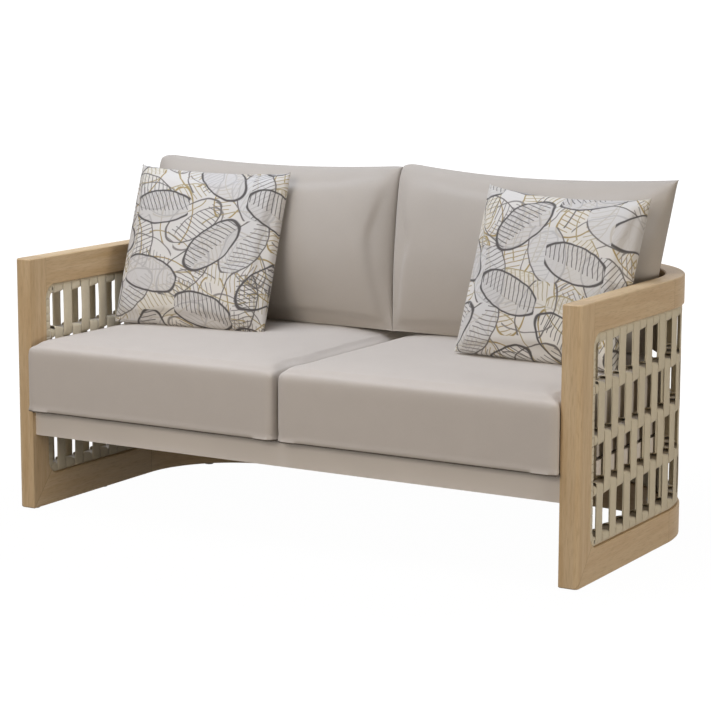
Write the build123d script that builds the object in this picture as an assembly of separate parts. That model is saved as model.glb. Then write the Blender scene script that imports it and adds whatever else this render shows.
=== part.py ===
from build123d import *
import math
import os

# A patio loveseat: a wooden frame whose rails run round two large rear corners,
# strap woven panels inside it, a coated metal seat frame, and loose cushions.
# Sizes are millimetres. X runs along the seat, Y to the back, Z up. The origin
# is on the floor under the middle of the whole seat, cushions included.

# Wooden frame
frame_width = 1622
frame_depth = 835
wood_height = 660
rail_thickness = 49
outer_corner_radius = 309
post_depth = 67
top_rail_height = 74
bottom_rail_height = 80
opening_radius = 38
post_edge_radius = 13
wood_edge_chamfer = 2.5
tenon_length = 50
tenon_height = 44
tenon_thickness = 12
tenon_clearance = 0.2

# Floor glides
glide_height = 5
glide_diameter = 24
side_glide_setback = 330
back_glide_offset = 250

# Woven panels: flat metal tubes with straps looped round each pair of them
weave_gap = 0.5
weave_tube_depth = 34
weave_tube_height = 19
weave_tube_wall = 2
strap_thickness = 2.5
strap_clearance = 0.3
first_gap = 14
slot_rows = 4
side_cell_count = 11
corner_cell_count = 12
back_cell_count = 25
strap_width_share = 0.96

# Seat frame
apron_height = 65
apron_recess = 12.5
seat_tube_thickness = 25
seat_tube_height = 50
seat_tube_wall = 2
seat_frame_top = 267
slat_width = 42
slat_thickness = 10
slat_side_margin = 65
slats_per_side = 6
bearer_height = 30
support_bar_width = 40
support_bar_thickness = 6
support_bar_overlap = 45
back_support_offset = 300
screw_head_width = 11
screw_head_height = 3

# Seat cushions
soft_clearance = 0.3
seat_overhang = 25
seat_side_clearance = 0.6
seat_side_height = 168
seat_crown = 27
seat_crown_reach = 135
seat_roll = 26
seat_corner_radius = 22
seat_side_draw = 3

# Back cushions
back_seam_offset = 225
back_cushion_height = 441
back_front_depth = 87
back_rear_depth = 150
back_inner_gap = 3
back_low_side_gap = 35.5
back_top_side_reach = 3.5
back_corner_radius = 20
back_side_draw = 9
back_top_draw = 15
back_base_sag = 2

# Throw pillows
pillow_side = 448
pillow_depth = 58
pillow_lean = 18.5
left_pillow_turn = 6.5
pillow_corner_radius = 10
pillow_side_draw = 9
right_pillow_arm_gap = 6
left_pillow_arm_gap = 27
pillow_seam_offset = 184

# Shares of a cushion's depth, each with the share of its reach that the outline is drawn in by
seat_bottom_shares = ((0.0, 0.55), (0.3, 0.15), (1.0, 0.0))
seat_top_shares = ((1.0, 0.0), (0.35, 0.25), (0.0, 1.0))
seat_crown_shares = ((0.45, 0.25), (0.82, 0.6), (1.0, 1.0))
front_swell_shares = ((1.0, 0.42), (0.92, 0.27), (0.72, 0.12), (0.4, 0.035), (0.0, 0.0))
rear_swell_shares = ((1.0, 0.71), (0.88, 0.52), (0.65, 0.31), (0.35, 0.13), (0.0, 0.0))
pillow_swell_shares = ((1.0, 0.66), (0.9, 0.42), (0.68, 0.2), (0.36, 0.06), (0.0, 0.0))
base_squash_share = 0.22

# How far cutting shapes run past what they cut
overrun = 60

# Places worked out from the sizes above
overall_depth = frame_depth + seat_overhang
front_y = seat_overhang - overall_depth / 2
back_y = front_y + frame_depth
outer_x = frame_width / 2
inner_x = outer_x - rail_thickness
inner_corner_radius = outer_corner_radius - rail_thickness
corner_x = outer_x - outer_corner_radius
corner_y = back_y - outer_corner_radius
post_back_y = front_y + post_depth
wood_base = glide_height
wood_top = wood_base + wood_height
opening_low = wood_base + bottom_rail_height
opening_high = wood_top - top_rail_height
middle_radius = outer_corner_radius - rail_thickness / 2
middle_x = outer_x - rail_thickness / 2
middle_y = back_y - rail_thickness / 2
corner_axis = Axis((corner_x, corner_y, 0), (0, 0, 1))
quarter_turn = 90

wrap = strap_thickness + strap_clearance
strap_depth = weave_tube_depth + 2 * wrap
strap_height = weave_tube_height + 2 * wrap
weave_low = opening_low + weave_gap
weave_high = opening_high - weave_gap
row_pitch = (weave_high - weave_low - strap_height) / slot_rows
tube_levels = [weave_low + strap_height / 2 + row * row_pitch for row in range(slot_rows + 1)]
end_arc_y = post_back_y + opening_radius
end_tube_back_y = post_back_y + weave_gap + wrap + weave_tube_height
weave_start_y = end_tube_back_y + wrap + first_gap

seat_base = seat_frame_top + soft_clearance
seat_top = seat_base + seat_side_height + seat_crown
apron_front_y = front_y + apron_recess
apron_back_y = apron_front_y + seat_tube_thickness
seat_tube_base = seat_frame_top - seat_tube_height
seat_inner_x = inner_x - seat_tube_thickness
seat_inner_radius = inner_corner_radius - seat_tube_thickness
slat_pitch = (seat_inner_x - slat_side_margin) / slats_per_side
back_seam_y = back_y - back_seam_offset


def side_plane(x):
    """A plane across the seat at x, drawn in Y and Z."""
    return Plane.YZ.offset(x)


def front_plane(y):
    """An upright plane facing the front at y, drawn in X and Z."""
    return Plane.XZ.offset(-y)


def run_back(sketch, y_from, y_to):
    """A section drawn in X and Z, run from one Y to another."""
    return extrude(front_plane(y_from) * sketch, -(y_to - y_from))


def run_across(sketch, x_from, x_to):
    """A section drawn in Y and Z, run from one X to another."""
    return extrude(side_plane(x_from) * sketch, x_to - x_from)


def run_round(sketch, start_angle, end_angle):
    """A section drawn in X and Z, turned about the right rear corner's axis."""
    turned = revolve(front_plane(corner_y) * sketch, axis=corner_axis, revolution_arc=end_angle - start_angle)
    return turned.rotate(corner_axis, start_angle)


def other_side(shape):
    return mirror(shape, about=Plane.YZ)


def save(name, shape):
    export_step(shape, f"parts/{name}.step")


def save_pair(name, shape):
    """The right hand piece and its mirror image on the left."""
    save(f"right_{name}", shape)
    save(f"left_{name}", other_side(shape))


def group(solids):
    return Compound([solid for shape in solids for solid in shape.solids()])


def opening_outline(inset):
    """The rounded opening of an arm, drawn in by inset, in Y and Z."""
    low = opening_low + inset
    high = opening_high - inset
    near = post_back_y + inset
    far = corner_y + overrun
    outline = RectangleRounded(far - near, high - low, opening_radius - inset)
    return Pos((near + far) / 2, (low + high) / 2) * outline


def rail_section(height):
    return chamfer(Rectangle(rail_thickness, height).vertices(), wood_edge_chamfer)


def tube_section(width, height, wall):
    return Rectangle(width, height) - Rectangle(width - 2 * wall, height - 2 * wall)


def tenon_places():
    """Where a loose tenon crosses each joint on the right, lying along Y, and then along X."""
    top_level = (opening_high + wood_top) / 2
    low_level = (wood_base + opening_low) / 2
    along_y = [
        Pos(middle_x, post_back_y, top_level),
        Pos(middle_x, front_y + post_depth / 2, low_level),
        Pos(middle_x, corner_y, top_level),
        Pos(middle_x, corner_y, low_level),
    ]
    along_x = [Pos(corner_x, middle_y, top_level), Pos(corner_x, middle_y, low_level)]
    return along_y + [place * Rot(Z=quarter_turn) for place in along_x]


def tenons(clearance):
    """Every loose tenon on the right, or with a clearance the mortises that hold them."""
    width = tenon_thickness + 2 * clearance
    length = tenon_length + 2 * clearance
    height = tenon_height + 2 * clearance
    return [place * Box(width, length, height) for place in tenon_places()]


def mortises():
    """Mortises of both sides, so that any piece of the frame can be cut by them."""
    right = tenons(tenon_clearance)
    return right + [other_side(mortise) for mortise in right]


def make_arm():
    """One arm's post and straight rails, cut from one board outline at their joints."""
    length = corner_y - front_y
    board = Pos(front_y + length / 2, wood_base + wood_height / 2) * Rectangle(length, wood_height)
    arm = run_across(board - opening_outline(0), inner_x, outer_x)
    front_edges = arm.edges().filter_by(Axis.Z).group_by(Axis.Y)[0].sort_by(Axis.X)
    arm = fillet(front_edges[-1], post_edge_radius)
    long_edges = arm.edges().filter_by(Axis.Y).filter_by(lambda edge: edge.length > post_depth)
    arm = chamfer(long_edges, wood_edge_chamfer)

    mitre_end = (front_y + 2 * post_depth, wood_base + 2 * bottom_rail_height)
    mitre = [(front_y, wood_base), mitre_end]
    post_area = mitre + [(post_back_y, mitre_end[1]), (post_back_y, wood_top), (front_y, wood_top)]
    low_area = mitre + [(corner_y, mitre_end[1]), (corner_y, wood_base)]
    top_area = [
        (post_back_y, mitre_end[1]),
        (corner_y, mitre_end[1]),
        (corner_y, wood_top),
        (post_back_y, wood_top),
    ]
    pieces = []
    for area in (post_area, low_area, top_area):
        cutter = run_across(make_face(Polyline(*area, close=True)), inner_x, outer_x)
        pieces.append((arm & cutter) - mortises())
    return pieces


def make_wood():
    """Posts, rails and rounded rear corners, and the loose tenons in their joints."""
    post, low_rail, arm_rail = make_arm()
    sections = {
        "top": (opening_high + wood_top, rail_section(top_rail_height)),
        "bottom": (wood_base + opening_low, rail_section(bottom_rail_height)),
    }
    save_pair("front_post", post)
    save_pair("arm_rail", arm_rail)
    save_pair("side_bottom_rail", low_rail)
    for name, (double_level, section) in sections.items():
        level = double_level / 2
        corner = run_round(Pos(middle_x, level) * section, 0, quarter_turn) - mortises()
        back = run_across(Pos(middle_y, level) * section, -corner_x, corner_x) - mortises()
        save_pair(f"{name}_corner_rail", corner)
        save(f"back_{name}_rail", back)
    right_tenons = tenons(0)
    save("rail_tenons", group(right_tenons + [other_side(tenon) for tenon in right_tenons]))


def make_glides():
    """Round floor glides under the posts, the sides, the corners and the back."""
    diagonal = middle_radius * math.sqrt(0.5)
    places = [
        (middle_x, front_y + post_depth / 2),
        (middle_x, front_y + side_glide_setback),
        (corner_x + diagonal, corner_y + diagonal),
        (back_glide_offset, middle_y),
    ]
    foot = Cylinder(glide_diameter / 2, glide_height)
    feet = [Pos(side * x, y, glide_height / 2) * foot for x, y in places for side in (1, -1)]
    save("floor_glides", group(feet))


def strap_loop(low, high):
    """Section of one strap looped round the tubes at two levels, or round one tube."""
    height = high - low + strap_height
    outer = Rectangle(strap_depth, height)
    inner = Rectangle(strap_depth - 2 * strap_thickness, height - 2 * strap_thickness)
    return Pos(0, (low + high) / 2) * (outer - inner)


def column_loops(cell):
    """Every strap that crosses one cell: rows take turns, so that the slots lie like bricks."""
    rows = [row for row in range(slot_rows) if (row + cell) % 2 == 0]
    sections = [strap_loop(tube_levels[row], tube_levels[row + 1]) for row in rows]
    if 0 not in rows:
        sections.append(strap_loop(tube_levels[0], tube_levels[0]))
    if slot_rows - 1 not in rows:
        sections.append(strap_loop(tube_levels[-1], tube_levels[-1]))
    return sections


def strap_runs(start, end, cells):
    """Start and end of the strap in each cell of a stretch."""
    pitch = (end - start) / cells
    margin = pitch * (1 - strap_width_share) / 2
    return [(start + i * pitch + margin, start + (i + 1) * pitch - margin) for i in range(cells)]


def make_straps():
    """Woven panels of the sides, the rounded corners and the back."""
    side, corner, back = [], [], []
    for cell, (start, end) in enumerate(strap_runs(weave_start_y, corner_y, side_cell_count)):
        for section in column_loops(cell):
            side.append(run_back(Pos(middle_x, 0) * section, start, end))
    for step, (start, end) in enumerate(strap_runs(0, quarter_turn, corner_cell_count)):
        for section in column_loops(side_cell_count + step):
            corner.append(run_round(Pos(middle_x, 0) * section, start, end))
    for step, (start, end) in enumerate(strap_runs(corner_x, -corner_x, back_cell_count)):
        for section in column_loops(side_cell_count + corner_cell_count + step):
            back.append(run_across(Pos(middle_y, 0) * section, end, start))
    save_pair("side_straps", group(side))
    save_pair("corner_straps", group(corner))
    save("back_straps", group(back))


def make_weave_tubes():
    """Flat tubes that carry the straps, with a rounded end tube behind each post."""
    section = tube_section(weave_tube_depth, weave_tube_height, weave_tube_wall)
    side, corner, back = [], [], []
    for level in tube_levels:
        is_outer = level in (tube_levels[0], tube_levels[-1])
        start_y = end_arc_y if is_outer else end_tube_back_y
        side.append(run_back(Pos(middle_x, level) * section, start_y, corner_y))
        corner.append(run_round(Pos(middle_x, level) * section, 0, quarter_turn))
        upright = tube_section(weave_tube_height, weave_tube_depth, weave_tube_wall)
        back.append(run_across(Pos(middle_y, level) * Rot(Z=quarter_turn) * upright, -corner_x, corner_x))
    save_pair("side_weave_tubes", group(side))
    save_pair("corner_weave_tubes", group(corner))
    save("back_weave_tubes", group(back))


def end_ring(outer_inset, inner_inset, depth):
    """The front end of the panel's rim between two insets, as deep as asked."""
    front_part = Pos(post_back_y + opening_radius / 2, (opening_low + opening_high) / 2)
    front_part *= Rectangle(opening_radius, opening_high - opening_low)
    ring = (opening_outline(outer_inset) - opening_outline(inner_inset)) & front_part
    return run_across(ring, middle_x - depth / 2, middle_x + depth / 2)


def make_weave_ends():
    """The rounded end tube behind each post, and the strap that binds it."""
    tube_outer = weave_gap + wrap
    tube_inner = tube_outer + weave_tube_height
    tube = end_ring(tube_outer, tube_inner, weave_tube_depth)
    room_depth = weave_tube_depth + 2 * strap_clearance
    room = end_ring(tube_outer - strap_clearance, tube_inner + strap_clearance, room_depth)
    binding = end_ring(weave_gap, tube_inner + wrap, strap_depth) - room
    passage = Rectangle(room_depth, weave_tube_height + 2 * strap_clearance)
    for level in tube_levels[1:-1]:
        binding -= run_back(Pos(middle_x, level) * passage, end_tube_back_y, end_arc_y)
    save_pair("weave_end_tube", tube)
    save_pair("end_binding", binding)


def make_seat_frame():
    """Front apron, the tube that follows the frame round the back, slats and bearer."""
    level = seat_frame_top - seat_tube_height / 2
    upright = tube_section(seat_tube_thickness, seat_tube_height, seat_tube_wall)
    tube_x = inner_x - seat_tube_thickness / 2
    tube_y = back_y - rail_thickness - seat_tube_thickness / 2
    apron = tube_section(seat_tube_thickness, apron_height, seat_tube_wall)
    apron_place = Pos((apron_front_y + apron_back_y) / 2, seat_frame_top - apron_height / 2)
    save("front_apron", run_across(apron_place * apron, -inner_x, inner_x))
    save_pair("seat_side_rail", run_back(Pos(tube_x, level) * upright, apron_back_y, corner_y))
    save_pair("seat_corner_rail", run_round(Pos(tube_x, level) * upright, 0, quarter_turn))
    save("seat_rear_rail", run_across(Pos(tube_y, level) * upright, -corner_x, corner_x))

    bearer = tube_section(seat_tube_thickness, bearer_height, seat_tube_wall)
    bearer_place = Pos((apron_back_y + corner_y) / 2, seat_frame_top - slat_thickness - bearer_height / 2)
    save("seat_bearer", run_across(bearer_place * bearer, -seat_inner_x, seat_inner_x))


def make_slats():
    """Slats from the apron to the rear rail, cut short where the corners are round."""
    slats = []
    slat_reach = seat_inner_radius - soft_clearance
    for index in range(slats_per_side):
        x = (index + 1 / 2) * slat_pitch
        beyond = max(0, x + slat_width / 2 - corner_x)
        end_y = corner_y + math.sqrt(slat_reach**2 - beyond**2)
        if beyond == 0:
            end_y = corner_y + seat_inner_radius
        section = Pos(x, seat_frame_top - slat_thickness / 2) * Rectangle(slat_width, slat_thickness)
        slat = run_back(section, apron_back_y, end_y)
        slats += [slat, other_side(slat)]
    save("seat_slats", group(slats))


def make_supports():
    """Bars on the inner face of the rear corners and the back that carry the seat frame, with screws."""
    low = opening_low - support_bar_overlap
    height = seat_tube_base - low
    level = low + height / 2
    screw_level = opening_low - support_bar_overlap / 2
    hexagon = RegularPolygon(screw_head_width / 2, 6, major_radius=False)
    head = Rot(Y=quarter_turn) * extrude(hexagon, screw_head_height / 2, both=True)
    bar_y = back_y - rail_thickness - support_bar_thickness / 2
    head_y = bar_y - (support_bar_thickness + screw_head_height) / 2
    straight = Rot(Z=quarter_turn) * Box(support_bar_thickness, support_bar_width, height)

    half_way = quarter_turn / 2
    half_width = math.degrees(support_bar_width / 2 / inner_corner_radius)
    section = Pos(inner_x - support_bar_thickness / 2, level) * Rectangle(support_bar_thickness, height)
    bars = [Pos(back_support_offset, bar_y, level) * straight]
    bars.append(run_round(section, half_way - half_width, half_way + half_width))

    # In the corner a head's rim touches the bar's hollow face
    bar_inner_radius = inner_corner_radius - support_bar_thickness
    rim_radius = screw_head_width / math.sqrt(3)
    head_reach = math.sqrt(bar_inner_radius**2 - rim_radius**2) - screw_head_height / 2
    heads = []
    for step in (-support_bar_width / 4, support_bar_width / 4):
        turned = Rot(Z=quarter_turn) * head
        heads.append(Pos(back_support_offset + step, head_y, screw_level) * turned)
        placed = Pos(corner_x + head_reach, corner_y, screw_level) * head
        heads.append(placed.rotate(corner_axis, half_way + math.degrees(step / inner_corner_radius)))
    save("seat_support_bars", group(bars + [other_side(bar) for bar in bars]))
    save("support_screws", group(heads + [other_side(head) for head in heads]))


def soft_outline(corners, radii, draws):
    """A closed outline through given corners, each rounded, with every side drawn in."""
    count = len(corners)
    points = [Vector(*corner) for corner in corners]
    arcs = []
    for i in range(count):
        before, here, after = points[i - 1], points[i], points[(i + 1) % count]
        towards_before = (before - here).normalized()
        towards_after = (after - here).normalized()
        start = here + towards_before * radii[i]
        end = here + towards_after * radii[i]
        bulge = here + (towards_before + towards_after) * (radii[i] * (1 - math.sqrt(0.5)))
        next_start = after - towards_after * radii[(i + 1) % count]
        inward = towards_after.rotate(Axis.Z, quarter_turn)
        middle = (end + next_start) * 0.5 + inward * draws[i]
        arcs += [ThreePointArc(start, bulge, end), ThreePointArc(end, middle, next_start)]
    return make_face(Wire(arcs))


def seat_section(inset, level):
    """The seat cushion's outline at one level, drawn in all round by inset."""
    left = soft_clearance + inset
    right = inner_x - seat_side_clearance - inset
    near = front_y - seat_overhang + inset
    far = back_y - rail_thickness - seat_side_clearance - inset
    corners = [(left, near), (right, near), (right, far), (left, far)]
    rear_radius = inner_corner_radius - seat_side_clearance - inset
    radii = [seat_corner_radius, seat_corner_radius, rear_radius, seat_corner_radius]
    draws = [seat_side_draw] * len(corners)
    return Plane.XY.offset(level) * soft_outline(corners, radii, draws)


def make_seat_cushions():
    """Boxed cushions with rolled edges, a crown, and a round rear corner that fits the frame."""
    edge_top = seat_base + seat_side_height
    sections = [
        seat_section(inset * seat_roll, seat_base + rise * seat_roll) for rise, inset in seat_bottom_shares
    ]
    sections += [
        seat_section(inset * seat_roll, edge_top - drop * seat_roll) for drop, inset in seat_top_shares
    ]
    sections += [
        seat_section(seat_roll + inset * seat_crown_reach, edge_top + rise * seat_crown)
        for rise, inset in seat_crown_shares
    ]
    save_pair("seat_cushion", loft(sections, ruled=True))


def swollen(outline_at, front_depth, rear_depth, front_shares, rear_shares, reach):
    """A soft body lofted through upright outlines that shrink towards its front and its rear."""
    sections = [
        front_plane(-depth * front_depth) * outline_at(inset * reach) for depth, inset in front_shares
    ]
    sections += [
        front_plane(depth * rear_depth) * outline_at(inset * reach)
        for depth, inset in reversed(rear_shares[:-1])
    ]
    return loft(sections, ruled=True)


def back_outline(inset):
    """A back cushion's outline: drawn-in sides, a sagging top and nearly flat base."""
    left = back_inner_gap / 2 + inset
    low_right = inner_x - back_low_side_gap - inset
    top_right = inner_x + back_top_side_reach - inset
    low = base_squash_share * inset
    high = back_cushion_height - inset
    corners = [(left, low), (low_right, low), (top_right, high), (left, high)]
    radii = [back_corner_radius] * len(corners)
    draws = [-back_base_sag, back_side_draw, back_top_draw, back_side_draw]
    return soft_outline(corners, radii, draws)


def make_back_cushions():
    reach = back_cushion_height / 2
    cushion = swollen(
        back_outline, back_front_depth, back_rear_depth, front_swell_shares, rear_swell_shares, reach
    )
    lowest = cushion.bounding_box().min.Z
    place = Pos(0, back_seam_y, seat_top + soft_clearance - lowest)
    save_pair("back_cushion", place * cushion)


def pillow_outline(inset):
    """A square pillow's outline with drawn-in sides and pointed corners."""
    half = pillow_side / 2 - inset
    corners = [(-half, -half), (half, -half), (half, half), (-half, half)]
    return soft_outline(corners, [pillow_corner_radius] * len(corners), [pillow_side_draw] * len(corners))


def make_throw_pillows():
    """Square pillows that stand on the seat and lean back. The left one's outer side is turned forwards."""
    pillow = swollen(
        pillow_outline, pillow_depth, pillow_depth, pillow_swell_shares, pillow_swell_shares, pillow_side / 2
    )
    leaning = Rot(X=-pillow_lean) * pillow
    lowest = leaning.bounding_box().min.Z
    half = pillow_side / 2
    place_y, place_z = back_seam_y - pillow_seam_offset, seat_top + soft_clearance - lowest
    save("right_throw_pillow", Pos(inner_x - right_pillow_arm_gap - half, place_y, place_z) * leaning)
    inner_edge_x = left_pillow_arm_gap - inner_x + pillow_side * math.cos(math.radians(left_pillow_turn))
    turned = Rot(Z=left_pillow_turn) * Pos(-half, 0, 0) * leaning
    save("left_throw_pillow", Pos(inner_edge_x, place_y, place_z) * turned)


os.makedirs("parts", exist_ok=True)
make_wood()
make_glides()
make_straps()
make_weave_tubes()
make_weave_ends()
make_seat_frame()
make_slats()
make_supports()
make_seat_cushions()
make_back_cushions()
make_throw_pillows()
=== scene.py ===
import math

import bpy
import numpy as np
from mathutils import Matrix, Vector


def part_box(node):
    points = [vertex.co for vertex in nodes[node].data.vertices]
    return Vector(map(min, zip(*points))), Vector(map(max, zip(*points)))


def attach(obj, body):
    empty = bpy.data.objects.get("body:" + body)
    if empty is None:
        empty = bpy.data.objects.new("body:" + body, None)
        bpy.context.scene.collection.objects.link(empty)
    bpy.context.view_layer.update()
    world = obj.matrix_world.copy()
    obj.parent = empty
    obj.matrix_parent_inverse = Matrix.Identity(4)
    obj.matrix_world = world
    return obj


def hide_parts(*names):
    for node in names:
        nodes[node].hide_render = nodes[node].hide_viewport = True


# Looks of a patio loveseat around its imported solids: a teak frame with rounded rear corners,
# strap woven panels, a coated seat frame, and loose cushions. Metres, X along the seat, Y to
# the back, Z up. Each section holds one piece or a group of like pieces.

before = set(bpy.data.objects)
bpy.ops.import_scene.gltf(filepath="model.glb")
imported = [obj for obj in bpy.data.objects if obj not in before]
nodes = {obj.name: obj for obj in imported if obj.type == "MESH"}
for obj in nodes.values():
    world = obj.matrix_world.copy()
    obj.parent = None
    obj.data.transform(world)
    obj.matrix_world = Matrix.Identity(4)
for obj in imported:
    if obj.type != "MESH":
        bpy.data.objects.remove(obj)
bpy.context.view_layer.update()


# The camera stands in front of the seat and to its right, a little above it, as the photograph's
# did, with a long lens.
def new_object(name, data):
    """An object in the scene, at the origin, around a mesh, lamp or camera."""
    made = bpy.data.objects.new(name, data)
    bpy.context.scene.collection.objects.link(made)
    return made


def set_pose(made, axes, place):
    """Stands an object at a place, with its X, Y and Z along three directions."""
    pose = np.eye(4)
    pose[:3, :3] = np.stack(axes, 1)
    pose[:3, 3] = place
    made.matrix_world = Matrix(pose.tolist())


camera = new_object("camera", bpy.data.cameras.new("camera"))
bpy.context.scene.camera = camera
camera.data.sensor_width = 36
camera.data.lens = 118.4
camera.data.clip_end = 300
camera_place = (3.0276, -5.1320, 1.4211)
turn, tip, roll = (math.radians(angle) for angle in (30.722, 9.511, 0.135))
ahead = np.array([-math.sin(turn) * math.cos(tip), math.cos(turn) * math.cos(tip), -math.sin(tip)])
level = np.array([math.cos(turn), math.sin(turn), 0.0])
upright = np.cross(level, ahead)
right = level * math.cos(roll) + upright * math.sin(roll)
above = upright * math.cos(roll) - level * math.sin(roll)
set_pose(camera, (right, above, -ahead), camera_place)


# The floor is a plain matt sheet under a white surround. The camera sees it white, and a little of
# the seat's shadow close by. Light comes softly from above and less from the front and right.
def linear(hex_colour):
    """A hex sRGB colour as linear RGB and alpha: below 0.04045 a twelfth, and above it a power curve."""
    shares = np.array([int(hex_colour[i:i + 2], 16) for i in (1, 3, 5)]) / 255
    curved = np.where(shares <= 0.04045, shares / 12.92, ((shares + 0.055) / 1.055) ** 2.4)
    return (*curved.tolist(), 1.0)


def add_node(tree, kind, inputs=(), **settings):
    """A shader node of one kind with its settings. Its inputs come in their order, or by name or
    number. Each is a value, a socket to link, or a node, which stands for its first output."""
    made = tree.nodes.new("ShaderNode" + kind)
    for name, value in settings.items():
        setattr(made, name, value)
    for name, value in inputs.items() if isinstance(inputs, dict) else enumerate(inputs):
        if isinstance(value, bpy.types.Node):
            value = value.outputs[0]
        if isinstance(value, bpy.types.NodeSocket):
            tree.links.new(value, made.inputs[name])
        else:
            made.inputs[name].default_value = value
    return made


def new_material(name):
    """An empty node material and its tree."""
    made = bpy.data.materials.new(name)
    made.use_nodes = True
    made.node_tree.nodes.clear()
    return made, made.node_tree


def camera_share(tree):
    """1 for what the camera sees, straight or by way of gloss or glass, and 0 for light that bounces."""
    rays = add_node(tree, "LightPath").outputs
    seen = add_node(tree, "Math", (rays["Is Camera Ray"], rays["Is Glossy Ray"]), operation="MAXIMUM")
    return add_node(tree, "Math", (seen, rays["Is Transmission Ray"]), operation="MAXIMUM")


world = bpy.data.worlds.new("studio")
bpy.context.scene.world = world
world.use_nodes = True
sky = world.node_tree
sky.nodes.clear()
soft_light = add_node(sky, "Background", {"Color": linear("#ffead2"), "Strength": 0.16})
white = add_node(sky, "Background", {"Color": (1, 1, 1, 1), "Strength": 1.0})
add_node(sky, "OutputWorld", (add_node(sky, "MixShader", (camera_share(sky), soft_light, white)),))

floor_reach, shade_reach, clear_reach, shade_share = 90, 0.9, 2.6, 0.88
floor_mesh = bpy.data.meshes.new("floor")
floor_corners = [(x * floor_reach, y * floor_reach, 0) for x, y in ((-1, -1), (1, -1), (1, 1), (-1, 1))]
floor_mesh.from_pydata(floor_corners, [], [(0, 1, 2, 3)])
floor = new_object("floor", floor_mesh)
floor_finish, tree = new_material("matt pale floor")
pale = add_node(tree, "BsdfDiffuse", {"Color": linear("#726e69")})
glow = add_node(tree, "Emission", {"Color": (1, 1, 1, 1), "Strength": 1.12})
ground = add_node(tree, "TexCoord").outputs["Object"]
away = add_node(tree, "VectorMath", (ground,), operation="LENGTH").outputs["Value"]
fade = add_node(tree, "MapRange", (away, shade_reach, clear_reach, shade_share, 1.0),
                interpolation_type="SMOOTHSTEP")
share = add_node(tree, "Math", (camera_share(tree), fade), operation="MULTIPLY")
add_node(tree, "OutputMaterial", (add_node(tree, "MixShader", (share, pale, glow)),))
floor_mesh.materials.append(floor_finish)

for name, place, aim, size, watts, tint in (
    ("light above", (-0.5, -0.9, 3.5), (0.0, 0.0, 0.4), 2.6, 96, "#e6efff"),
    ("light front", (-0.3, -4.5, 2.0), (0.0, 0.0, 0.4), 1.8, 62, "#fff6ec"),
    ("light right", (4.2, -0.9, 0.8), (0.8, 0.0, 0.35), 1.1, 47, "#fff8ef"),
    ("light left", (-3.4, -2.2, 2.2), (0.0, 0.0, 0.4), 2.4, 6.5, "#fff3e6"),
    ("light rear", (-1.0, 3.6, 2.6), (0.0, 0.0, 0.4), 3.0, 22, "#ffffff"),
):
    lamp = new_object(name, bpy.data.lights.new(name, "AREA"))
    lamp.data.size = size
    lamp.data.energy = watts
    lamp.data.color = linear(tint)[:3]
    away = np.array(place) - np.array(aim)
    away /= np.linalg.norm(away)
    side = np.cross((0.0, 0.0, 1.0), away)
    side /= np.linalg.norm(side)
    set_pose(lamp, (side, np.cross(away, side), away), place)
bpy.context.scene.view_settings.view_transform = "Standard"


# The posts, rails and rounded corners are solid teak, planed, sanded and sealed matt. Grain runs
# along each piece, and round the bend in the corners. A dark hairline shows at each glued joint.
teak_pale, teak_warm, teak_dark = linear("#d2b993"), linear("#c4a67c"), linear("#93744f")
rail_middle = sum(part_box("right_arm_rail")[i].x for i in (0, 1)) / 2
corner_centre = (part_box("right_top_corner_rail")[0].x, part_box("right_top_corner_rail")[0].y)
bend_radius = rail_middle - corner_centre[0]
post_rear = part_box("right_arm_rail")[0].y
post_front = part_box("right_front_post")[0].y
wood_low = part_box("right_front_post")[0].z
opening_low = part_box("right_bottom_corner_rail")[1].z
opening_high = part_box("right_top_corner_rail")[0].z


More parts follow.
